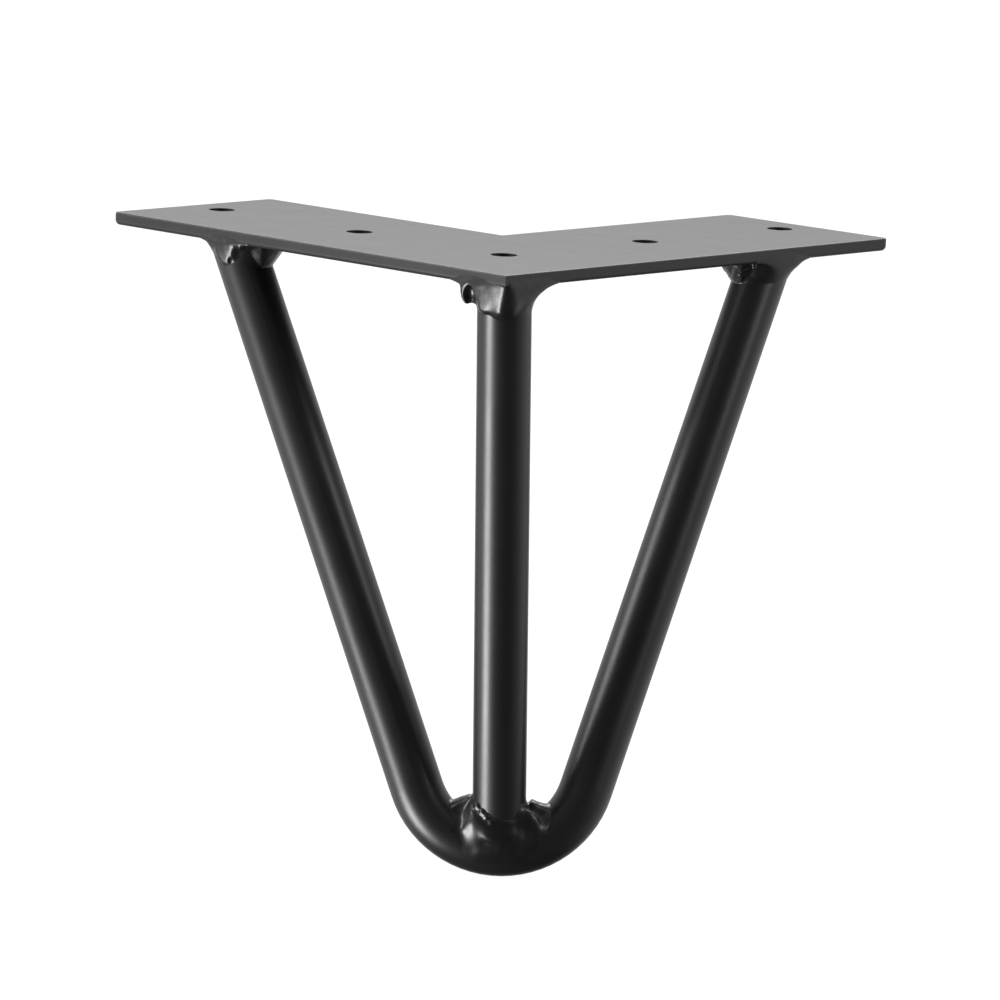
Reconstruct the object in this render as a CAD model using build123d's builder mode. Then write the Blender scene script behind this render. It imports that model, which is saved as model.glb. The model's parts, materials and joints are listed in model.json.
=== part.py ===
from build123d import *
import os
from math import asin, atan2, cos, degrees, hypot, sin, sqrt

# Three-bar hairpin table leg, all sizes in millimetres.
# An L-shaped plate screws to the underside of a table top. One round bar, bent into a hairpin,
# is welded to the two arms of the plate. A straight third bar runs from the plate's outer corner
# down to the hairpin's bend, where its end is coped and welded.
# Frame: origin at the corner screw hole on the plate's top face, +Z up, +Y from the plate's
# outer corner towards the inside of the L, the plate's two arms mirrored about X = 0.

# Plate
ARM_LENGTH = 127.0  # outer corner to the square end of an arm
ARM_WIDTH = 50.0
PLATE_THICKNESS = 3.0
OUTER_CORNER_RADIUS = 2.0
INNER_CORNER_RADIUS = 4.0
END_CORNER_RADIUS = 1.5
EDGE_RADIUS = 0.4  # broken edge of the top face
ROLLOVER_RADIUS = 1.2  # edge of the bottom face, drawn in by the punch
HOLE_DIAMETER = 6.0
HOLE_END_MARGIN = 10.0  # outermost hole to the end of its arm

# Bars
BAR_DIAMETER = 12.0
LEG_HEIGHT = 139.0  # table underside to floor
EDGE_MARGIN = 0.5  # side of a bar to the plate's outer edge, at the plate
HAIRPIN_FROM_END = 35.0  # end of an arm to the hairpin's axis, at the plate
FOOT_SETBACK = 25.0  # plate's outer corner to the foot, along the diagonal
FOOT_SIDESTEP = 3.5  # foot to the plate's middle plane, as the hand-welded leg stands
BEND_RADIUS = 20.0  # hairpin's bend, to the bar's axis
COPE_LIP = 2.5  # corner bar's end to the bend's axis

# Weld beads
ARM_BEAD_REACH = 2.8  # out from the bar's side, at the plate
ARM_BEAD_DEPTH = 5.0  # down the bar, from the plate
CORNER_BEAD_REACH = 5.2
CORNER_BEAD_DEPTH = 7.5
BEAD_SPREAD = 0.35  # how fast a bead widens upwards where its bar leans in under the plate
BEAD_RISE = 2.2  # up the plate's edge, from its underside
BEAD_PROUD = 0.6  # out of the plate's edge
BEAD_BANDS = 2  # bands of the hollow flank, from the toe up
FOOT_BEAD_REACH = 3.8  # out from the corner bar's side
FOOT_BEAD_CLIMB = 5.5  # up the corner bar, from the top of the bend
FOOT_BEAD_TOE = 2.0  # lower end of the bead to the bend's axis
TOE_THICKNESS = 0.35  # blunt edge where a bead runs out on a bar

# Places worked out from the sizes above
HALF_RIGHT_ANGLE = sqrt(0.5)  # sine and cosine of 45 degrees
BAR_RADIUS = BAR_DIAMETER / 2
UNDERSIDE = -PLATE_THICKNESS
CORNER_DISTANCE = ARM_WIDTH / 2 / HALF_RIGHT_ANGLE  # corner hole to the plate's outer corner
BAR_INSET = BAR_RADIUS + EDGE_MARGIN
OVERRUN = BAR_DIAMETER  # bars start this much too long and are trimmed flush with the plate


def arm_point(side, along, across):
    """X and Y of a point on an arm, along its outer edge from the corner and across it."""
    x = side * (along - across) * HALF_RIGHT_ANGLE
    y = (along + across) * HALF_RIGHT_ANGLE - CORNER_DISTANCE
    return x, y


foot = Vector(FOOT_SIDESTEP, FOOT_SETBACK - CORNER_DISTANCE, BAR_RADIUS - LEG_HEIGHT)
corner_seat = Vector(*arm_point(1, BAR_INSET, BAR_INSET), UNDERSIDE)
hairpin_seat_x, hairpin_seat_y = arm_point(1, ARM_LENGTH - HAIRPIN_FROM_END, BAR_INSET)

# Mounting plate: an L with five punched holes on the middle lines of its arms
with BuildSketch() as plate_outline:
    with BuildLine():
        Polyline(
            arm_point(1, 0, 0),
            arm_point(1, ARM_LENGTH, 0),
            arm_point(1, ARM_LENGTH, ARM_WIDTH),
            arm_point(1, ARM_WIDTH, ARM_WIDTH),
            arm_point(-1, ARM_LENGTH, ARM_WIDTH),
            arm_point(-1, ARM_LENGTH, 0),
            close=True,
        )
    make_face()
    corners = plate_outline.vertices().sort_by(lambda corner: abs(corner.X))
    outer_corner, inner_corner = corners[:2].sort_by(Axis.Y)
    arm_end_corners = corners[2:]
    fillet(arm_end_corners, END_CORNER_RADIUS)
    fillet(outer_corner, OUTER_CORNER_RADIUS)
    fillet(inner_corner, INNER_CORNER_RADIUS)

outer_hole = ARM_LENGTH - HOLE_END_MARGIN
corner_hole = ARM_WIDTH / 2
middle_hole = (corner_hole + outer_hole) / 2
hole_places = [(0, 0)]
for side in (-1, 1):
    for along in (middle_hole, outer_hole):
        hole_places.append(arm_point(side, along, ARM_WIDTH / 2))

with BuildPart() as mounting_plate:
    add(plate_outline.sketch)
    extrude(amount=-PLATE_THICKNESS)
    bottom_face = mounting_plate.faces().sort_by(Axis.Z)[0]
    fillet(bottom_face.outer_wire().edges(), ROLLOVER_RADIUS)
    top_face = mounting_plate.faces().sort_by(Axis.Z)[-1]
    fillet(top_face.outer_wire().edges(), EDGE_RADIUS)
    with Locations(*hole_places):
        Hole(HOLE_DIAMETER / 2)

# Hairpin: two straight legs tangent to one bend, in a plane that leans from the foot to the arms
slope = Vector(0, hairpin_seat_y - foot.Y, UNDERSIDE - foot.Z)
hairpin_plane = Plane(origin=foot, x_dir=(1, 0, 0), z_dir=Vector(1, 0, 0).cross(slope))
seat_height = slope.length  # from the foot up to the seats, in that plane


def leg_angle(side):
    """Angle of one leg from the plane's upward direction, tangent to the bend."""
    seat_x = abs(side * hairpin_seat_x - FOOT_SIDESTEP)
    seat_from_bend_centre = hypot(seat_x, seat_height - BEND_RADIUS)
    return atan2(seat_x, seat_height - BEND_RADIUS) - asin(BEND_RADIUS / seat_from_bend_centre)


def leg_end(side):
    """Overlong upper end of one leg, in the hairpin's plane."""
    seat_x = side * hairpin_seat_x - FOOT_SIDESTEP
    angle = leg_angle(side)
    return seat_x + side * OVERRUN * sin(angle), seat_height + OVERRUN * cos(angle)


with BuildPart() as hairpin_rod:
    with BuildLine(hairpin_plane) as hairpin_path:
        bend_start = 180 + degrees(leg_angle(-1))
        bend_turn = 180 - degrees(leg_angle(-1)) - degrees(leg_angle(1))
        bend = CenterArc((0, BEND_RADIUS), BEND_RADIUS, bend_start, bend_turn)
        Line(leg_end(-1), bend @ 0)
        Line(bend @ 1, leg_end(1))
    section_plane = Plane(
        origin=hairpin_path.line @ 0, x_dir=hairpin_plane.z_dir, z_dir=hairpin_path.line % 0
    )
    with BuildSketch(section_plane):
        Circle(BAR_RADIUS)
    sweep()
    split(bisect_by=Plane.XY.offset(UNDERSIDE), keep=Keep.BOTTOM)

# Corner bar: straight from the plate's corner to the bend, its lower end coped over the bend
corner_rise = corner_seat - foot
corner_up = corner_rise.normalized()
corner_rod_end = Plane(origin=foot + corner_up * COPE_LIP, x_dir=(1, 0, 0), z_dir=corner_up)

with BuildPart() as corner_rod:
    with BuildSketch(corner_rod_end):
        Circle(BAR_RADIUS)
    extrude(amount=corner_rise.length + OVERRUN)
    split(bisect_by=Plane.XY.offset(UNDERSIDE), keep=Keep.BOTTOM)
    add(hairpin_rod.part, mode=Mode.SUBTRACT)


def bead_body(seat, up, flank):
    """A bead turned about a bar's axis, from its flank: heights along the bar and radii, toe first."""
    outward = up.cross(Vector(1, 0, 0)).normalized()
    profile = [(radius, height) for height, radius in flank]
    with BuildPart() as bead:
        with BuildSketch(Plane(origin=seat, x_dir=outward, z_dir=outward.cross(up))):
            with BuildLine():
                Polyline((0, profile[0][1]), *profile, (0, profile[-1][1]), close=True)
            make_face()
        revolve(axis=Axis(seat, up))
    return bead.part


def plate_bead(seat, up, reach, depth):
    """A bead with a hollow flank around a bar, from its toe up past the plate's underside."""
    flank = []
    for band in range(BEAD_BANDS + 1):
        share = band / BEAD_BANDS
        thickness = TOE_THICKNESS + (reach - TOE_THICKNESS) * share**2
        flank.append((depth * (share - 1), BAR_RADIUS + thickness))
    flank.append((OVERRUN, BAR_RADIUS + reach + BEAD_SPREAD * OVERRUN))
    return bead_body(seat, up, flank)


# Beads at the plate climb its edge and stand a little proud of it, but not more
with BuildPart() as bead_bounds:
    with BuildSketch(Plane.XY.offset(UNDERSIDE + BEAD_RISE)):
        add(plate_outline.sketch)
        offset(amount=BEAD_PROUD)
    extrude(amount=-LEG_HEIGHT)

arm_welds = []
for side in (-1, 1):
    angle = leg_angle(side)
    leg_up = hairpin_plane.x_dir * side * sin(angle) + hairpin_plane.y_dir * cos(angle)
    arm_seat = Vector(side * hairpin_seat_x, hairpin_seat_y, UNDERSIDE)
    with BuildPart() as arm_weld:
        add(plate_bead(arm_seat, leg_up, ARM_BEAD_REACH, ARM_BEAD_DEPTH))
        add(bead_bounds.part, mode=Mode.INTERSECT)
        add(mounting_plate.part, mode=Mode.SUBTRACT)
        add(hairpin_rod.part, mode=Mode.SUBTRACT)
    arm_welds.append(arm_weld)
left_weld, right_weld = arm_welds

with BuildPart() as corner_weld:
    add(plate_bead(corner_seat, corner_up, CORNER_BEAD_REACH, CORNER_BEAD_DEPTH))
    add(bead_bounds.part, mode=Mode.INTERSECT)
    add(mounting_plate.part, mode=Mode.SUBTRACT)
    add(corner_rod.part, mode=Mode.SUBTRACT)

# Foot bead: fat where the corner bar lands on the bend, running out on both
bend_side = sqrt(BAR_RADIUS**2 - FOOT_BEAD_TOE**2)
foot_flank = [
    (FOOT_BEAD_TOE, bend_side + TOE_THICKNESS),
    ((FOOT_BEAD_TOE + BAR_RADIUS) / 2, BAR_RADIUS + FOOT_BEAD_REACH),
    (BAR_RADIUS + FOOT_BEAD_CLIMB, BAR_RADIUS + TOE_THICKNESS),
]

with BuildPart() as foot_weld:
    add(bead_body(foot, corner_up, foot_flank))
    add(hairpin_rod.part, mode=Mode.SUBTRACT)
    add(corner_rod.part, mode=Mode.SUBTRACT)

os.makedirs("parts", exist_ok=True)
mounting_plate.part.label = "mounting_plate"
export_step(mounting_plate.part, "parts/mounting_plate.step")
hairpin_rod.part.label = "hairpin_rod"
export_step(hairpin_rod.part, "parts/hairpin_rod.step")
corner_rod.part.label = "corner_rod"
export_step(corner_rod.part, "parts/corner_rod.step")
left_weld.part.label = "left_weld"
export_step(left_weld.part, "parts/left_weld.step")
right_weld.part.label = "right_weld"
export_step(right_weld.part, "parts/right_weld.step")
corner_weld.part.label = "corner_weld"
export_step(corner_weld.part, "parts/corner_weld.step")
foot_weld.part.label = "foot_weld"
export_step(foot_weld.part, "parts/foot_weld.step")
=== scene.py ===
"""Looks of a welded hairpin table leg: satin black powder coat, hand-laid weld beads, white studio."""

import json
import math

import bpy
import numpy as np
from bpy.props import FloatProperty, FloatVectorProperty, PointerProperty
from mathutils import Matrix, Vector


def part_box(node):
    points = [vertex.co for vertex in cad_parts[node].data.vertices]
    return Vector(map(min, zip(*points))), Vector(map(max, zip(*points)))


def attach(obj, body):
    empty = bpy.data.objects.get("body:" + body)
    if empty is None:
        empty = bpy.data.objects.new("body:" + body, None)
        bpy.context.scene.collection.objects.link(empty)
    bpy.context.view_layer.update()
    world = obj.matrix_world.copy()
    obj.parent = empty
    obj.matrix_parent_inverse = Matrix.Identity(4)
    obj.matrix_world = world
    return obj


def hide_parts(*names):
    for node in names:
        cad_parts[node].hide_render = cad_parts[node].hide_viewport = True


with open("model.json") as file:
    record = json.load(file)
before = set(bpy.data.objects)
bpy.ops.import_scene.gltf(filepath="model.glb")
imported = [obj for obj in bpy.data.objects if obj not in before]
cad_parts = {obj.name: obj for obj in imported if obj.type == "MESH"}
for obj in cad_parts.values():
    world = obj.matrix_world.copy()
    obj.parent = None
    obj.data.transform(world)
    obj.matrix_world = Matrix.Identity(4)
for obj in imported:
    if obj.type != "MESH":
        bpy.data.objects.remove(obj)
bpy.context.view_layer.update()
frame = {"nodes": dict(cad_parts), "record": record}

bl_info = {
    "name": "Hairpin table leg",
    "version": (1, 0, 0),
    "blender": (4, 5, 0),
    "location": "3D View > Sidebar > Hairpin leg",
    "description": "Powder coat, weld beads and studio for a welded hairpin table leg",
    "category": "Object",
}

MM = 0.001
HAIR = 0.01 * MM  # a length too small to see
HALF_RIGHT_ANGLE = math.sqrt(0.5)  # sine and cosine of 45 degrees
BODY = "root"

# Places read from the frame
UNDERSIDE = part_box("mounting_plate")[0].z
FLOOR_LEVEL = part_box("hairpin_rod")[0].z
MOUNTS = {mount["name"]: Vector(mount["pos_m"]) for mount in frame["record"]["mounts"]}


def mm(x, y, z):
    """A place or a size, given in millimetres."""
    return Vector((x, y, z)) * MM


def plate_reach(x_way, y_way):
    """How far the plate reaches from the corner hole in a slanted direction."""
    vertices = frame["nodes"]["mounting_plate"].data.vertices
    return max((x_way * v.co.x + y_way * v.co.y) * HALF_RIGHT_ANGLE for v in vertices)


def ring_box(node_name, side=0):
    """Lowest and highest corner of the bar's end against the plate, on one side or all of it."""
    vertices = frame["nodes"][node_name].data.vertices
    points = [v.co for v in vertices if abs(v.co.z - UNDERSIDE) < HAIR]
    points = np.array([p for p in points if side == 0 or p.x * side > 0])
    return Vector(points.min(0)), Vector(points.max(0))


def seat(node_name, side=0):
    """Middle of the bar's end against the plate."""
    low, high = ring_box(node_name, side)
    return (low + high) / 2


ARM_WIDTH = 2 * plate_reach(-1, -1)
ARM_LENGTH = plate_reach(1, 1) + ARM_WIDTH / 2
OUTER_CORNER = -ARM_WIDTH / 2 / HALF_RIGHT_ANGLE  # on the Y axis
CORNER_RING = ring_box("corner_rod")
BAR_RADIUS = (CORNER_RING[1].x - CORNER_RING[0].x) / 2
CORNER_SEAT = seat("corner_rod")
ARM_SEATS = {-1: seat("hairpin_rod", -1), 1: seat("hairpin_rod", 1)}  # left and right
FOOT = MOUNTS["floor_contact"] + Vector((0, 0, BAR_RADIUS))  # in the middle of the bent bar


def length(name, description, millimetres, least=0.0):
    """A size setting, given in millimetres and kept in metres."""
    return FloatProperty(
        name=name,
        description=description,
        subtype="DISTANCE",
        min=least * MM,
        default=millimetres * MM,
    )


def share(name, description, default):
    """A setting between nothing and one."""
    return FloatProperty(
        name=name,
        description=description,
        subtype="FACTOR",
        min=0.0,
        max=1.0,
        default=default,
    )


def power(name, description, watts):
    """The power of a lamp."""
    return FloatProperty(name=name, description=description, subtype="POWER", min=0.0, default=watts)


class CoatSettings(bpy.types.PropertyGroup):
    """The powder coat that covers plate, bars and welds alike."""

    colour: FloatVectorProperty(
        name="Coat colour",
        description="Colour of the cured powder",
        subtype="COLOR",
        size=3,
        min=0.0,
        max=1.0,
        default=(0.0125, 0.0125, 0.0128),
    )
    roughness: share("Satin", "Roughness of the coat on flat steel and bars", 0.36)
    weld_roughness: share("Weld satin", "Roughness where the coat has run over the welds", 0.30)
    peel_size: length("Orange peel size", "Distance between the low waves of the powder", 1.6, 0.1)
    peel_depth: length("Orange peel depth", "Height of those waves", 0.012)


class WeldSettings(bpy.types.PropertyGroup):
    """Sizes of the four weld beads."""

    grid: length("Grid", "Cell of the grid that the beads are meshed on", 0.2, 0.1)
    left_outer_leg: length("Left bead outside", "Run-out of the left bead on its outer side", 4.5)
    left_inner_leg: length("Left bead inside", "Run-out of the left bead on its inner side", 7.2)
    right_outer_leg: length("Right bead outside", "Run-out of the right bead on its outer side", 6.5)
    right_inner_leg: length("Right bead inside", "Run-out of the right bead on its inner side", 7.0)
    chamfer: length("Inner chamfer", "Straight legs of the arm beads on their inner side", 5.4)
    corner_leg: length("Corner bead leg", "How far the corner bead runs out on plate and bar", 8.0)
    foot_leg: length("Foot bead leg", "How far the foot bead runs out on both bars", 5.5)
    foot_chamfer: length("Foot chamfer", "Straight legs of the foot bead beside the bar", 5.2)
    foot_thick: length("Foot bead thickness", "Thickness of the foot bead in its middle", 0.85)
    bend_radius: length("Bend radius", "Radius of the bend, to the middle of the bar", 20.0)
    fusion: length("Fusion depth", "How deep a bead sinks into the steel that it joins", 0.6)
    seam: length("Toe inset", "How far a bead lies under the steel where it has run out", 0.12)
    proud: length("Proud of the edge", "How far a bead stands out of the plate's edge", 0.45)
    edge_gap: length("Edge gap", "How far below the plate's top face a bead stops", 0.4)
    ripple_height: length("Ripple height", "Height of the lumps that the torch leaves", 0.2)
    ripple_size: length("Ripple size", "Distance between those lumps", 2.6, 0.1)
    spatter: length("Spatter radius", "Radius of a drop of spatter", 0.5, 0.1)


class StageSettings(bpy.types.PropertyGroup):
    """Camera, floor and studio light."""

    camera_place: FloatVectorProperty(
        name="Camera place",
        description="Where the camera stands",
        subtype="TRANSLATION",
        unit="LENGTH",
        size=3,
        default=(-20.07 * MM, -1313.59 * MM, 168.48 * MM),
    )
    camera_turn: FloatVectorProperty(
        name="Camera turn",
        description="How the camera is turned",
        subtype="EULER",
        unit="ROTATION",
        size=3,
        default=(math.radians(80.3283), math.radians(-2.0390), math.radians(-0.5756)),
    )
    camera_lens: FloatProperty(
        name="Focal length",
        description="Focal length in millimetres on a 36 mm sensor",
        subtype="DISTANCE_CAMERA",
        min=1.0,
        default=214.32,
    )
    floor_span: length("Floor span", "Diameter of the round floor", 12000.0)
    strip_watts: power("Strip light", "Power of the strip light low on the left", 14.0)
    side_watts: power("Side light", "Power of the soft box on the left", 4.0)
    fill_watts: power("Fill light", "Power of the weak panel on the right", 2.2)
    top_watts: power("Top light", "Power of the soft box above and behind", 14.6)


# Make-up of the powder coat
GRAINS_PER_WAVE = 4.5  # fine grain on the waves of the orange peel
GRAIN_SHARE = 0.3
PATCHES_PER_WAVE = 0.12  # wide patches of uneven gloss
NOISE_RANGE = (0.3, 0.7)  # where most values of a noise texture lie
SPECK_SHADE = 0.45  # a speck's colour, as a share of the coat's
COAT_IOR = 1.5


def socket(group, name, kind, way="INPUT", default=None):
    """Adds a named socket to a node group."""
    made = group.interface.new_socket(name=name, in_out=way, socket_type=kind)
    if default is not None:
        made.default_value = default


def node(tree, kind, **values):
    """Adds a node and sets its properties and, by input name, its values."""
    made = tree.nodes.new(kind)
    for name, value in values.items():
        if hasattr(made, name):
            setattr(made, name, value)
        else:
            made.inputs[name.replace("_", " ").title()].default_value = value
    return made


def empty_tree(owner):
    """The node tree of a material or a world, with nothing in it."""
    owner.use_nodes = True
    owner.node_tree.nodes.clear()
    return owner.node_tree


def ramp(tree, value, start, end, low, high, kind="SMOOTHSTEP"):
    """A step from low to high as a value goes from start to end."""
    step = node(tree, "ShaderNodeMapRange", interpolation_type=kind)
    for name, level in (("From Min", start), ("From Max", end), ("To Min", low), ("To Max", high)):
        step.inputs[name].default_value = level
    tree.links.new(value, step.inputs["Value"])
    return step.outputs["Result"]


def peel_group():
    """Orange peel: low waves and fine grain of cured powder, as a height and a gloss mask."""
    name = "Orange peel"
    if name in bpy.data.node_groups:
        return bpy.data.node_groups[name]
    group = bpy.data.node_groups.new(name, "ShaderNodeTree")
    socket(group, "Vector", "NodeSocketVector")
    socket(group, "Waves per metre", "NodeSocketFloat", default=600.0)
    socket(group, "Height", "NodeSocketFloat", "OUTPUT")
    socket(group, "Gloss mask", "NodeSocketFloat", "OUTPUT")
    start = node(group, "NodeGroupInput")
    end = node(group, "NodeGroupOutput")
    waves = node(group, "ShaderNodeTexNoise", detail=1.5, roughness=0.5)
    grain_scale = node(group, "ShaderNodeMath", operation="MULTIPLY")
    grain_scale.inputs[1].default_value = GRAINS_PER_WAVE
    grain = node(group, "ShaderNodeTexNoise", detail=1.0, roughness=0.5)
    patch_scale = node(group, "ShaderNodeMath", operation="MULTIPLY")
    patch_scale.inputs[1].default_value = PATCHES_PER_WAVE
    patches = node(group, "ShaderNodeTexNoise", detail=3.0, roughness=0.6)
    height = node(group, "ShaderNodeMix", data_type="FLOAT")
    height.inputs["Factor"].default_value = GRAIN_SHARE
    links = group.links
    for texture in (waves, grain, patches):
        links.new(start.outputs["Vector"], texture.inputs["Vector"])
    links.new(start.outputs["Waves per metre"], waves.inputs["Scale"])
    links.new(start.outputs["Waves per metre"], grain_scale.inputs[0])
    links.new(start.outputs["Waves per metre"], patch_scale.inputs[0])
    links.new(grain_scale.outputs[0], grain.inputs["Scale"])
    links.new(patch_scale.outputs[0], patches.inputs["Scale"])
    links.new(waves.outputs["Fac"], height.inputs["A"])
    links.new(grain.outputs["Fac"], height.inputs["B"])
    links.new(height.outputs["Result"], end.inputs["Height"])
    links.new(patches.outputs["Fac"], end.inputs["Gloss mask"])
    return group


def speck_group():
    """Dust specks caught in the coat: a sparse mask of tiny dots."""
    name = "Dust specks"
    if name in bpy.data.node_groups:
        return bpy.data.node_groups[name]
    group = bpy.data.node_groups.new(name, "ShaderNodeTree")
    socket(group, "Vector", "NodeSocketVector")
    socket(group, "Cells per metre", "NodeSocketFloat", default=120.0)
    socket(group, "Share", "NodeSocketFloat", default=0.2)
    socket(group, "Radius", "NodeSocketFloat", default=0.05)
    socket(group, "Speck mask", "NodeSocketFloat", "OUTPUT")
    start = node(group, "NodeGroupInput")
    end = node(group, "NodeGroupOutput")
    cells = node(group, "ShaderNodeTexVoronoi", feature="F1")
    near = node(group, "ShaderNodeMath", operation="LESS_THAN")
    picked = node(group, "ShaderNodeSeparateColor")
    chosen = node(group, "ShaderNodeMath", operation="LESS_THAN")
    both = node(group, "ShaderNodeMath", operation="MULTIPLY")
    links = group.links
    links.new(start.outputs["Vector"], cells.inputs["Vector"])
    links.new(start.outputs["Cells per metre"], cells.inputs["Scale"])
    links.new(cells.outputs["Distance"], near.inputs[0])
    links.new(start.outputs["Radius"], near.inputs[1])
    links.new(cells.outputs["Color"], picked.inputs["Color"])
    links.new(picked.outputs["Red"], chosen.inputs[0])
    links.new(start.outputs["Share"], chosen.inputs[1])
    links.new(near.outputs[0], both.inputs[0])
    links.new(chosen.outputs[0], both.inputs[1])
    links.new(both.outputs[0], end.inputs["Speck mask"])
    return group


def coat_material(name, coat, roughness, gloss_spread, depth_share):
    """Satin black powder coat with its orange peel, uneven gloss and dust specks."""
    material = bpy.data.materials.new(name)
    tree = empty_tree(material)
    place = node(tree, "ShaderNodeTexCoord")
    peel = node(tree, "ShaderNodeGroup", node_tree=peel_group())
    peel.inputs["Waves per metre"].default_value = 1.0 / coat.peel_size
    specks = node(tree, "ShaderNodeGroup", node_tree=speck_group())
    levels = (roughness - gloss_spread, roughness + gloss_spread)
    gloss = ramp(tree, peel.outputs["Gloss mask"], *NOISE_RANGE, *levels, kind="LINEAR")
    tone = node(tree, "ShaderNodeMix", data_type="RGBA")
    tone.inputs["A"].default_value = (*coat.colour, 1.0)
    tone.inputs["B"].default_value = (*[SPECK_SHADE * c for c in coat.colour], 1.0)
    bump = node(tree, "ShaderNodeBump")
    bump.inputs["Strength"].default_value = 1.0
    bump.inputs["Distance"].default_value = coat.peel_depth * depth_share
    shader = node(tree, "ShaderNodeBsdfPrincipled")
    shader.inputs["IOR"].default_value = COAT_IOR
    out = node(tree, "ShaderNodeOutputMaterial")
    links = tree.links
    links.new(place.outputs["Object"], peel.inputs["Vector"])
    links.new(place.outputs["Object"], specks.inputs["Vector"])
    links.new(peel.outputs["Height"], bump.inputs["Height"])
    links.new(specks.outputs["Speck mask"], tone.inputs["Factor"])
    links.new(tone.outputs["Result"], shader.inputs["Base Color"])
    links.new(gloss, shader.inputs["Roughness"])
    links.new(bump.outputs["Normal"], shader.inputs["Normal"])
    links.new(shader.outputs["BSDF"], out.inputs["Surface"])
    return material


def dress(node_name, material):
    """Gives a CAD node its finish."""
    mesh = frame["nodes"][node_name].data
    mesh.materials.clear()
    mesh.materials.append(material)


class HAIRPIN_OT_coat_plate(bpy.types.Operator):
    """Coat the mounting plate"""

    bl_idname = "hairpin.coat_plate"
    bl_label = "Coat plate"

    def execute(self, context):
        coat = context.scene.hairpin_coat
        material = coat_material("plate_coat", coat, coat.roughness, gloss_spread=0.03, depth_share=1.6)
        dress("mounting_plate", material)
        return {"FINISHED"}


class HAIRPIN_OT_coat_bars(bpy.types.Operator):
    """Coat the hairpin and the corner bar"""

    bl_idname = "hairpin.coat_bars"
    bl_label = "Coat bars"

    def execute(self, context):
        coat = context.scene.hairpin_coat
        material = coat_material("bar_coat", coat, coat.roughness, gloss_spread=0.03, depth_share=0.8)
        dress("hairpin_rod", material)
        dress("corner_rod", material)
        return {"FINISHED"}


# How softly weld metal runs together, is bounded and is pitted
LUMP_BLEND = 1.0 * MM
EDGE_BLEND = 0.8 * MM
PIT_BLEND = 0.5 * MM

# Shapes of the beads
TOE_CUT = 0.15  # share of the run-out, hidden in the steel, that is left off
WEB_GAIN = 0.3  # how much longer the foot bead's legs are in its webs
TO_STRIP_LIGHT = (-0.54, -0.83, -0.16)  # face that throws the strip light to the camera
BAR_STUB = 60 * MM  # length of bar that is enough for a bead
BAR_END = 2.5 * MM  # where the corner bar ends, above the middle of the bent bar
RIM_DROPS = ((-5.0, 11.1), (-3.88, 9.945), (-2.92, 8.955), (-1.8, 7.8))  # mm sideways and up the bar

# Ripples of each bead: height and size as shares of the settings, and the seed of their waves
LEFT_RIPPLES = (0.25, 1.0, 4)
RIGHT_RIPPLES = (0.7, 0.5, 6)
CORNER_RIPPLES = (0.08, 1.0, 11)
FOOT_RIPPLES = (0.25, 1.0, 23)
WAVE_COUNT = 7
WAVE_LENGTHS = (0.7, 1.6)  # shortest and longest wave, as shares of the ripples' size
WAVE_SUM = 3.0  # what the waves add up to where most of them meet

# Meshing of the beads
RELAX_ROUNDS = 3
UNTANGLE_ROUNDS = 6


class Field:
    """Distances on a grid around a weld, in metres: negative inside, positive outside."""

    def __init__(self, low, high, step):
        self.low = np.array(low)
        self.step = step
        counts = np.ceil((np.array(high) - self.low) / step).astype(int) + 1
        axes = [self.low[k] + step * np.arange(counts[k]) for k in range(3)]
        self.points = np.stack(np.meshgrid(*axes, indexing="ij"), -1)

    def millimetres_from(self, place):
        """How far each point of the grid lies from a place along X, Y and Z."""
        return np.moveaxis(self.points - np.array(place), -1, 0) / MM

    def bar(self, start, end):
        """A round bar with flat ends."""
        start = np.array(start)
        along = np.array(end) - start
        reach = np.linalg.norm(along)
        along /= reach
        offset = self.points - start
        height = offset @ along
        radial = np.linalg.norm(offset - height[..., None] * along, axis=-1) - BAR_RADIUS
        ends = np.abs(height - reach / 2) - reach / 2
        return join_distance(radial, ends)

    def bend(self, centre, across, up, radius):
        """A bent round bar, as a whole ring."""
        offset = self.points - np.array(centre)
        u = offset @ np.array(across)
        v = offset @ np.array(up)
        w = offset @ np.cross(np.array(across), np.array(up))
        return np.hypot(np.hypot(u, v) - radius, w) - BAR_RADIUS

    def egg(self, centre, radii):
        """An egg-shaped lump with its axes along X, Y and Z."""
        radii = np.array(radii)
        offset = (self.points - np.array(centre)) / radii
        return (np.linalg.norm(offset, axis=-1) - 1) * radii.min()

    def drop(self, centre, radius):
        """A round drop of spatter."""
        return self.egg(centre, (radius, radius, radius))

    def facet(self, point, normal):
        """A flat face through a point."""
        return (self.points - np.array(point)) @ np.array(Vector(normal).normalized())

    def outline(self):
        """The plate's L-shaped outline at every height: two arms with square ends."""
        x, y, _ = np.moveaxis(self.points, -1, 0)
        right = (x + y - OUTER_CORNER) * HALF_RIGHT_ANGLE
        left = (-x + y - OUTER_CORNER) * HALF_RIGHT_ANGLE
        nearer, farther = np.minimum(left, right), np.maximum(left, right)
        across = np.abs(nearer - ARM_WIDTH / 2) - ARM_WIDTH / 2
        lengthwise = np.abs(farther - ARM_LENGTH / 2) - ARM_LENGTH / 2
        return join_distance(across, lengthwise)

    def plate(self):
        """The plate between its two faces."""
        height = self.points[..., 2]
        return join_distance(self.outline(), np.abs(height - UNDERSIDE / 2) - abs(UNDERSIDE) / 2)

    def ripples(self, size, seed):
        """Smooth lumps from crossed waves, mostly between minus one and one."""
        picks = np.random.default_rng(seed)
        total = 0
        for _ in range(WAVE_COUNT):
            way = picks.normal(size=3)
            way *= math.tau / (size * picks.uniform(*WAVE_LENGTHS)) / np.linalg.norm(way)
            total = total + np.sin(self.points @ way + picks.uniform(0, math.tau))
        return total / WAVE_SUM


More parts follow.
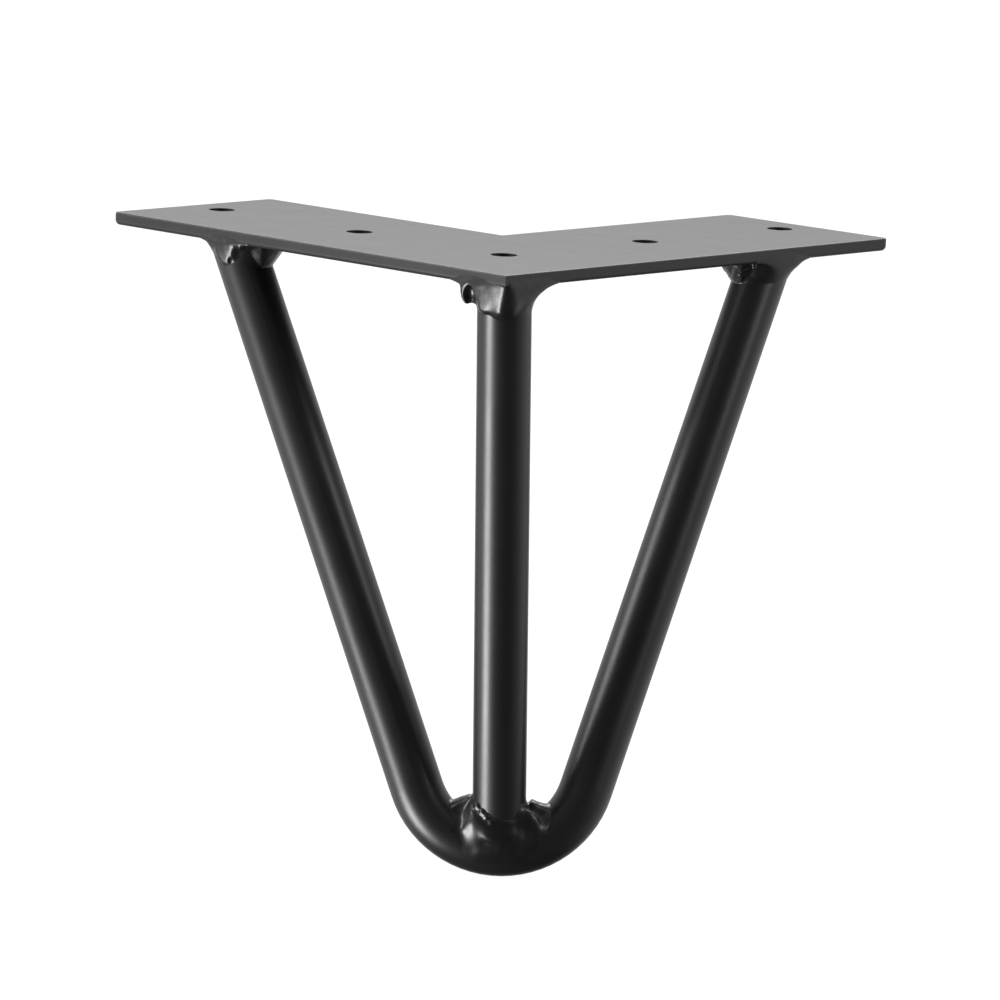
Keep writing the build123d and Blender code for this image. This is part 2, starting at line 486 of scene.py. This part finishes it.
def join_distance(a, b):
    """Distance to where two shapes overlap, round at the corner between them."""
    outside = np.hypot(np.maximum(a, 0), np.maximum(b, 0))
    return outside + np.minimum(np.maximum(a, b), 0)


def melt(a, b, leg):
    """Smooth union of two shapes, with a hollow fillet of that leg."""
    near = np.maximum(leg - np.abs(a - b), 0) / leg
    return np.minimum(a, b) - near * near * leg / 4


def trim(a, b, leg):
    """What two shapes have in common, with its edges rounded off by that leg."""
    return -melt(-a, -b, leg)


def skin(field, values):
    """Vertices and faces of the surface where the values change sign, one vertex to a cell."""
    inside = values < 0
    corners = [(i, j, k) for i in (0, 1) for j in (0, 1) for k in (0, 1)]
    shape = np.array(values.shape) - 1

    def part(array, i, j, k):
        return array[i:i + shape[0], j:j + shape[1], k:k + shape[2]]

    count = sum(part(inside, *c).astype(int) for c in corners)
    active = (count > 0) & (count < len(corners))
    index = np.full(active.shape, -1)
    cells = np.argwhere(active)
    index[active] = np.arange(len(cells))
    total = np.zeros((len(cells), 3))
    crossings = np.zeros(len(cells))
    for start in corners:
        for axis in range(3):
            if start[axis]:
                continue
            end = list(start)
            end[axis] = 1
            a = part(values, *start)[active]
            b = part(values, *end)[active]
            crosses = (a < 0) != (b < 0)
            along = np.where(crosses, a / np.where(crosses, a - b, 1), 0)
            spot = np.array(start, float) + along[:, None] * np.eye(3)[axis]
            total += np.where(crosses[:, None], spot, 0)
            crossings += crosses
    vertices = field.low + (cells + total / crossings[:, None]) * field.step
    faces = []
    for axis in range(3):
        b_axis, c_axis = (axis + 1) % 3, (axis + 2) % 3
        ahead = np.moveaxis(inside, axis, 0)[1:]
        here = np.moveaxis(inside, axis, 0)[:-1]
        edges = np.argwhere(np.moveaxis(here != ahead, 0, axis))
        edges = edges[(edges[:, b_axis] > 0) & (edges[:, c_axis] > 0)]
        edges = edges[(edges[:, b_axis] < shape[b_axis]) & (edges[:, c_axis] < shape[c_axis])]
        ring = []
        for db, dc in ((1, 1), (0, 1), (0, 0), (1, 0)):
            cell = edges.copy()
            cell[:, b_axis] -= db
            cell[:, c_axis] -= dc
            ring.append(index[tuple(cell.T)])
        quads = np.stack(ring, 1)
        flip = ~inside[tuple(edges.T)]
        quads[flip] = quads[flip][:, ::-1]
        faces.append(quads)
    return vertices, np.concatenate(faces)


def relax(vertices, faces):
    """Moves each vertex half way to the middle of its neighbours, to take the grid's steps out."""
    edges = np.concatenate([faces[:, [k, (k + 1) % 4]] for k in range(4)])
    edges = np.concatenate([edges, edges[:, ::-1]])
    count = np.bincount(edges[:, 0], minlength=len(vertices))
    for _ in range(RELAX_ROUNDS):
        near = vertices[edges[:, 1]]
        sums = [np.bincount(edges[:, 0], near[:, axis], len(vertices)) for axis in range(3)]
        vertices = (vertices + np.stack(sums, 1) / count[:, None]) / 2
    return vertices


def soften(values):
    """Averages each value with its neighbours, so that no sliver is thinner than a cell."""
    for axis in range(3):
        before = np.roll(values, 1, axis)
        after = np.roll(values, -1, axis)
        values = (before + 2 * values + after) / 4
    return values


def untangle(values):
    """Fills cell faces that are crossed like a chessboard, where four faces would share an edge."""
    for _ in range(UNTANGLE_ROUNDS):
        for axis in range(3):
            layers = np.moveaxis(values, axis, 0)
            square = []
            for j in (slice(None, -1), slice(1, None)):
                for k in (slice(None, -1), slice(1, None)):
                    square.append(layers[:, j, k])
            a, b, c, d = [corner < 0 for corner in square]
            crossed = (a & d & ~b & ~c) | (b & c & ~a & ~d)
            for corner in square:
                corner[crossed] = np.minimum(corner[crossed], -HAIR)
    return values


def weld_piece(name, node_name, field, values, material):
    """A closed bead mesh that stands for the plain CAD bead."""
    vertices, faces = skin(field, untangle(soften(values)))
    mesh = bpy.data.meshes.new(name)
    mesh.from_pydata(relax(vertices, faces).tolist(), [], faces.tolist())
    mesh.validate()
    mesh.shade_smooth()
    mesh.materials.append(material)
    piece = bpy.data.objects.new(name, mesh)
    bpy.context.scene.collection.objects.link(piece)
    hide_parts(node_name)
    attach(piece, BODY)


def ripple_heights(field, weld, ripples):
    """How far the ripples of a bead stand out of it."""
    height_share, size_share, seed = ripples
    waves = field.ripples(size_share * weld.ripple_size, seed)
    return height_share * weld.ripple_height * waves


def bead_values(field, steels, leg, weld, ripples, lumps, bounds=(), pits=(), chamfer=0.0):
    """A bead between two pieces of steel, with lumps, bounds and pits, running out at its toes."""
    first, second = steels
    run_out = np.maximum(leg - np.abs(first - second), 0) / leg
    body = np.minimum(melt(first, second, leg), (first + second - chamfer) * HALF_RIGHT_ANGLE)
    for lump in lumps:
        body = melt(body, lump, LUMP_BLEND)
    for bound in bounds:
        body = trim(body, bound, EDGE_BLEND)
    body = np.maximum(body, field.points[..., 2] + weld.edge_gap)
    body = body + weld.seam - run_out * ripples
    for pit in pits:
        body = trim(body, -pit, PIT_BLEND)
    reach = (TOE_CUT - run_out) * leg
    for lump in lumps:
        reach = np.minimum(reach, lump - LUMP_BLEND / 2)
    body = np.maximum(body, reach)
    for steel in steels:
        body = np.maximum(body, -(steel + weld.fusion))
    return body


def edge_bound(field, weld):
    """Lets a bead stand proud of the plate's edge at the underside, and less towards the top face."""
    depth = -field.points[..., 2] - weld.edge_gap
    return field.outline() - weld.proud * np.clip(depth / (abs(UNDERSIDE) - weld.edge_gap), 0, 1)


def weld_material(coat):
    """The coat where it has run together over a bead."""
    name = "weld_coat"
    if name in bpy.data.materials:
        return bpy.data.materials[name]
    return coat_material(name, coat, coat.weld_roughness, gloss_spread=0.05, depth_share=1.5)


def hairpin_up(side):
    """From the foot straight up in the hairpin's plane, as far as the end of one leg is high."""
    return Vector((0, ARM_SEATS[side].y - FOOT.y, UNDERSIDE - FOOT.z))


def leg_direction(side, weld):
    """Upward direction of one leg of the hairpin, from where it leaves the bend."""
    up = hairpin_up(side)
    height = up.length - weld.bend_radius
    reach = abs(ARM_SEATS[side].x - FOOT.x)
    slant = math.atan2(reach, height) - math.asin(weld.bend_radius / math.hypot(reach, height))
    return Vector((side * math.sin(slant), 0, 0)) + up.normalized() * math.cos(slant)


class HAIRPIN_OT_weld_arms(bpy.types.Operator):
    """Lay the two beads between the hairpin and the arms of the plate"""

    bl_idname = "hairpin.weld_arms"
    bl_label = "Weld arms"

    def execute(self, context):
        weld = context.scene.hairpin_welds
        material = weld_material(context.scene.hairpin_coat)
        self.left(weld, material)
        self.right(weld, material)
        return {"FINISHED"}

    def start(self, side, outer_leg, inner_leg, weld):
        """Grid and steel of one bead, its leg, and a mask of the bar's inner side."""
        middle = ARM_SEATS[side]
        field = Field(middle - mm(16, 16, 12), middle + mm(16, 16, 4), weld.grid)
        bar = field.bar(middle - leg_direction(side, weld) * BAR_STUB, middle)
        inward = np.clip(-side * (field.points[..., 0] - middle.x) / BAR_RADIUS, -1, 1)
        leg = outer_leg + (inner_leg - outer_leg) * (inward + 1) / 2
        return field, (field.plate(), bar), leg, np.maximum(inward, 0)

    def left(self, weld, material):
        """Flush with the plate's edge outside, ending in a bright lump; a plain chamfer inside."""
        field, steels, leg, inner = self.start(-1, weld.left_outer_leg, weld.left_inner_leg, weld)
        middle = ARM_SEATS[-1]
        lump = field.egg(middle + mm(-2.4, -6.1, -1.6), mm(3.0, 2.6, 3.3))
        face = field.facet(middle + mm(-2.8, -7.1, -1.5), TO_STRIP_LIGHT)
        drop = field.drop(middle + mm(1.2, -9.4, -0.6), 0.7 * weld.spatter)
        notch = field.egg(middle + mm(-1.1, -7.5, -3.9), mm(0.3, 0.9, 0.45))
        values = bead_values(
            field,
            steels,
            leg,
            weld,
            ripple_heights(field, weld, LEFT_RIPPLES),
            lumps=(trim(lump, face, EDGE_BLEND), drop),
            bounds=(edge_bound(field, weld),),
            pits=(notch,),
            chamfer=weld.chamfer * inner,
        )
        weld_piece("left_weld_bead", "left_weld", field, values, material)

    def right(self, weld, material):
        """Flush with the plate's edge outside, with a long run-out; a ribbed chamfer inside."""
        field, steels, leg, inner = self.start(1, weld.right_outer_leg, weld.right_inner_leg, weld)
        drop = field.drop(ARM_SEATS[1] + mm(-3.4, -11.4, -0.9), 1.3 * weld.spatter)
        values = bead_values(
            field,
            steels,
            leg,
            weld,
            inner * ripple_heights(field, weld, RIGHT_RIPPLES),
            lumps=(drop,),
            bounds=(edge_bound(field, weld),),
            chamfer=weld.chamfer * inner,
        )
        weld_piece("right_weld_bead", "right_weld", field, values, material)


class HAIRPIN_OT_weld_corner(bpy.types.Operator):
    """Lay the large bead between the corner bar and the plate's outer corner"""

    bl_idname = "hairpin.weld_corner"
    bl_label = "Weld corner"

    def execute(self, context):
        weld = context.scene.hairpin_welds
        material = weld_material(context.scene.hairpin_coat)
        middle = CORNER_SEAT
        field = Field(middle - mm(15, 15, 12), middle + mm(15, 15, 4), weld.grid)
        bar = field.bar((middle + FOOT) / 2, middle)
        lobe = field.egg(middle + mm(-8.0, -1.2, -1.6), mm(2.6, 2.6, 3.5))
        wall = field.egg(middle + mm(-4.8, -4.4, -1.4), mm(3.6, 3.6, 4.8))
        nose = field.egg(middle + mm(-0.2, -4.2, -1.2), mm(4.3, 5.0, 6.0))
        face = field.facet(middle + mm(-2.4, -6.8, -0.5), (-0.61, -0.77, -0.09))
        front = field.facet(middle + mm(0, -8.0, -3.0), (0.2, -1.0, -0.25))
        crater = field.egg(middle + mm(-7.7, -1.5, -2.7), mm(1.4, 1.4, 2.2))
        groove = field.egg(middle + mm(-6.5, -2.9, -4.8), mm(0.7, 1.1, 1.6))
        values = bead_values(
            field,
            (field.plate(), bar),
            weld.corner_leg,
            weld,
            ripple_heights(field, weld, CORNER_RIPPLES),
            lumps=(lobe, wall, nose),
            bounds=(edge_bound(field, weld), face, front),
            pits=(crater, groove),
        )
        weld_piece("corner_weld_bead", "corner_weld", field, values, material)
        return {"FINISHED"}


class HAIRPIN_OT_weld_foot(bpy.types.Operator):
    """Lay the bead between the corner bar's end and the bend"""

    bl_idname = "hairpin.weld_foot"
    bl_label = "Weld foot"

    def execute(self, context):
        weld = context.scene.hairpin_welds
        material = weld_material(context.scene.hairpin_coat)
        up = hairpin_up(1).normalized()
        rise = (CORNER_SEAT - FOOT).normalized()
        field = Field(FOOT - mm(13, 12, 3), FOOT + mm(14, 12, 17), weld.grid)
        bar = field.bar(FOOT + rise * BAR_END, FOOT + rise * BAR_STUB)
        bend = field.bend(FOOT + up * weld.bend_radius, (1, 0, 0), up, weld.bend_radius)
        webs = self.webs(field)
        leg = weld.foot_leg * (1 + WEB_GAIN * webs)
        puddle = self.puddle(field, melt(bend, bar, leg), weld)
        cheek = field.egg(FOOT + mm(4.4, -4.4, 6.6), mm(4.8, 1.5, 4.4))
        values = bead_values(
            field,
            (bend, bar),
            leg,
            weld,
            ripple_heights(field, weld, FOOT_RIPPLES),
            lumps=(puddle, cheek, *self.rim(field, rise, weld)),
            chamfer=weld.foot_chamfer * webs,
        )
        weld_piece("foot_weld_bead", "foot_weld", field, values, material)
        return {"FINISHED"}

    def webs(self, field):
        """A mask of the webs left and right of the bar, which ends towards its front and back."""
        x, y, _ = field.millimetres_from(FOOT)
        return np.interp(np.abs(x), (3, 7), (0, 1)) * np.interp(np.abs(y), (1.8, 4.8), (1, 0))

    def puddle(self, field, fillet, weld):
        """Metal that has run over the joint, with a bright face on its heel, low on the left."""
        x, _, z = field.millimetres_from(FOOT)
        collar = 8.0 + 0.07 * (x - 1.5) ** 2  # height of its upper edge round the bar
        below = collar - z
        thick_left = np.interp(x, (-8, 8), (1.9, 0.1))
        thin_collar = np.interp(below, (1.05, 3), (0.35, 1))
        pool = field.egg(FOOT + mm(1.3, 0, 8.0), mm(9.7, 13, 6.7))
        coat = fillet - weld.foot_thick * thick_left * thin_collar
        coat = trim(coat, np.maximum(pool, -below * MM), EDGE_BLEND)
        heel = field.egg(FOOT + mm(-6.0, -5.4, 5.0), mm(2.8, 2.0, 2.8))
        face = field.facet(FOOT + mm(-5.9, -6.7, 4.7), TO_STRIP_LIGHT)
        return trim(melt(coat, heel, LUMP_BLEND), face, EDGE_BLEND)

    def rim(self, field, rise, weld):
        """Drops of spatter along the left side of the puddle's upper edge."""
        for sideways, height in RIM_DROPS:
            x = sideways * MM
            front = Vector((x, -math.sqrt(BAR_RADIUS ** 2 - x ** 2) - weld.spatter, 0))
            yield field.drop(FOOT + rise * height * MM + front, weld.spatter)


FLOOR_SIDES = 96
SENSOR_WIDTH = 36.0  # millimetres
FAR_CLIP = 50.0
WHITE = (1, 1, 1, 1)
GREY_PAINT = (0.1, 0.1, 0.1, 1)
FLOOR_GLOW = 0.97  # the paint adds what is missing to white, but not in the leg's shadow


def floor_material():
    """Pale floor: white to the camera, a little darker in the leg's own shadow."""
    material = bpy.data.materials.new("studio_floor")
    tree = empty_tree(material)
    path = node(tree, "ShaderNodeLightPath")
    white = node(tree, "ShaderNodeEmission")
    white.inputs["Color"].default_value = WHITE
    white.inputs["Strength"].default_value = FLOOR_GLOW
    paint = node(tree, "ShaderNodeBsdfDiffuse")
    paint.inputs["Color"].default_value = GREY_PAINT
    both = node(tree, "ShaderNodeAddShader")
    seen = node(tree, "ShaderNodeMixShader")
    out = node(tree, "ShaderNodeOutputMaterial")
    links = tree.links
    links.new(white.outputs[0], both.inputs[0])
    links.new(paint.outputs[0], both.inputs[1])
    links.new(path.outputs["Is Camera Ray"], seen.inputs["Fac"])
    links.new(paint.outputs[0], seen.inputs[1])
    links.new(both.outputs[0], seen.inputs[2])
    links.new(seen.outputs[0], out.inputs["Surface"])
    return material


def studio_world():
    """Bright behind the leg, dark behind the camera and below, and white where the camera looks."""
    world = bpy.data.worlds.new("studio")
    tree = empty_tree(world)
    way = node(tree, "ShaderNodeTexCoord")
    split = node(tree, "ShaderNodeSeparateXYZ")
    path = node(tree, "ShaderNodeLightPath")
    room = node(tree, "ShaderNodeMath", operation="MULTIPLY")
    level = node(tree, "ShaderNodeMix", data_type="FLOAT")
    level.inputs["B"].default_value = 1.0
    background = node(tree, "ShaderNodeBackground")
    background.inputs["Color"].default_value = WHITE
    out = node(tree, "ShaderNodeOutputWorld")
    links = tree.links
    links.new(way.outputs["Generated"], split.inputs[0])
    to_back = ramp(tree, split.outputs["Y"], start=-1.0, end=0.35, low=0.016, high=0.84)
    to_top = ramp(tree, split.outputs["Z"], start=-0.85, end=-0.35, low=0.05, high=1.0)
    links.new(to_back, room.inputs[0])
    links.new(to_top, room.inputs[1])
    links.new(path.outputs["Is Camera Ray"], level.inputs["Factor"])
    links.new(room.outputs[0], level.inputs["A"])
    links.new(level.outputs["Result"], background.inputs["Strength"])
    links.new(background.outputs[0], out.inputs["Surface"])
    return world


def soft_box(name, place, aim, width, height, watts):
    """A soft rectangular lamp that points at the leg."""
    lamp = bpy.data.lights.new(name, "AREA")
    lamp.shape = "RECTANGLE"
    lamp.size = width
    lamp.size_y = height
    lamp.energy = watts
    box = bpy.data.objects.new(name, lamp)
    box.location = place
    box.rotation_euler = (aim - place).to_track_quat("-Z", "Y").to_euler()
    box.visible_camera = False
    bpy.context.scene.collection.objects.link(box)


class HAIRPIN_OT_stage(bpy.types.Operator):
    """Set the camera, the pale floor and the studio light"""

    bl_idname = "hairpin.stage"
    bl_label = "Set stage"

    def execute(self, context):
        scene = context.scene
        stage = scene.hairpin_stage
        self.camera(scene, stage)
        self.floor(scene, stage.floor_span / 2)
        scene.world = studio_world()
        middle = Vector((0, 0, FLOOR_LEVEL / 2))
        # Place from the leg's middle, width and height in metres, and power
        lamps = {
            "strip_light": ((-0.867, -0.387, -0.40), 0.36, 0.55, stage.strip_watts),
            "side_light": ((-0.871, -0.082, 0.50), 0.40, 0.45, stage.side_watts),
            "fill_light": ((0.82, -0.40, 0.42), 0.30, 0.50, stage.fill_watts),
            "top_light": ((0.1, 1.0, 1.0), 1.2, 0.6, stage.top_watts),
        }
        for name, (offset, width, height, watts) in lamps.items():
            soft_box(name, middle + Vector(offset), middle, width, height, watts)
        scene.view_settings.view_transform = "Standard"
        return {"FINISHED"}

    def camera(self, scene, stage):
        """The camera at the photograph's viewing angle."""
        camera = bpy.data.objects.new("camera", bpy.data.cameras.new("camera"))
        camera.data.lens = stage.camera_lens
        camera.data.sensor_width = SENSOR_WIDTH
        camera.data.clip_end = FAR_CLIP
        camera.location = stage.camera_place
        camera.rotation_euler = stage.camera_turn
        scene.collection.objects.link(camera)
        scene.camera = camera

    def floor(self, scene, radius):
        """A round floor that reflections and shadows of the lamps pass through."""
        rim = []
        for step in range(FLOOR_SIDES):
            angle = math.tau * step / FLOOR_SIDES
            rim.append((radius * math.cos(angle), radius * math.sin(angle), FLOOR_LEVEL))
        mesh = bpy.data.meshes.new("floor")
        mesh.from_pydata(rim, [], [list(range(FLOOR_SIDES))])
        mesh.materials.append(floor_material())
        floor = bpy.data.objects.new("floor", mesh)
        scene.collection.objects.link(floor)
        floor.visible_glossy = False
        floor.visible_shadow = False


PIECE_OPERATORS = (
    HAIRPIN_OT_coat_plate,
    HAIRPIN_OT_coat_bars,
    HAIRPIN_OT_weld_arms,
    HAIRPIN_OT_weld_corner,
    HAIRPIN_OT_weld_foot,
    HAIRPIN_OT_stage,
)


class HAIRPIN_PT_panel(bpy.types.Panel):
    """Lists the steps and sizes of the hairpin leg"""

    bl_label = "Hairpin leg"
    bl_idname = "HAIRPIN_PT_panel"
    bl_space_type = "VIEW_3D"
    bl_region_type = "UI"
    bl_category = "Hairpin leg"

    def draw(self, context):
        layout = self.layout
        for operator in PIECE_OPERATORS:
            layout.operator(operator.bl_idname)
        scene = context.scene
        for settings in (scene.hairpin_coat, scene.hairpin_welds, scene.hairpin_stage):
            box = layout.box()
            for name in settings.__annotations__:
                box.prop(settings, name)


CLASSES = (CoatSettings, WeldSettings, StageSettings, *PIECE_OPERATORS, HAIRPIN_PT_panel)


def register():
    for cls in CLASSES:
        bpy.utils.register_class(cls)
    bpy.types.Scene.hairpin_coat = PointerProperty(type=CoatSettings)
    bpy.types.Scene.hairpin_welds = PointerProperty(type=WeldSettings)
    bpy.types.Scene.hairpin_stage = PointerProperty(type=StageSettings)


def unregister():
    del bpy.types.Scene.hairpin_stage
    del bpy.types.Scene.hairpin_welds
    del bpy.types.Scene.hairpin_coat
    for cls in reversed(CLASSES):
        bpy.utils.unregister_class(cls)


def main():
    """Makes the pieces and the stage in order."""
    register()
    bpy.ops.hairpin.coat_plate()
    bpy.ops.hairpin.coat_bars()
    bpy.ops.hairpin.weld_arms()
    bpy.ops.hairpin.weld_corner()
    bpy.ops.hairpin.weld_foot()
    bpy.ops.hairpin.stage()


if __name__ == "__main__":
    main()
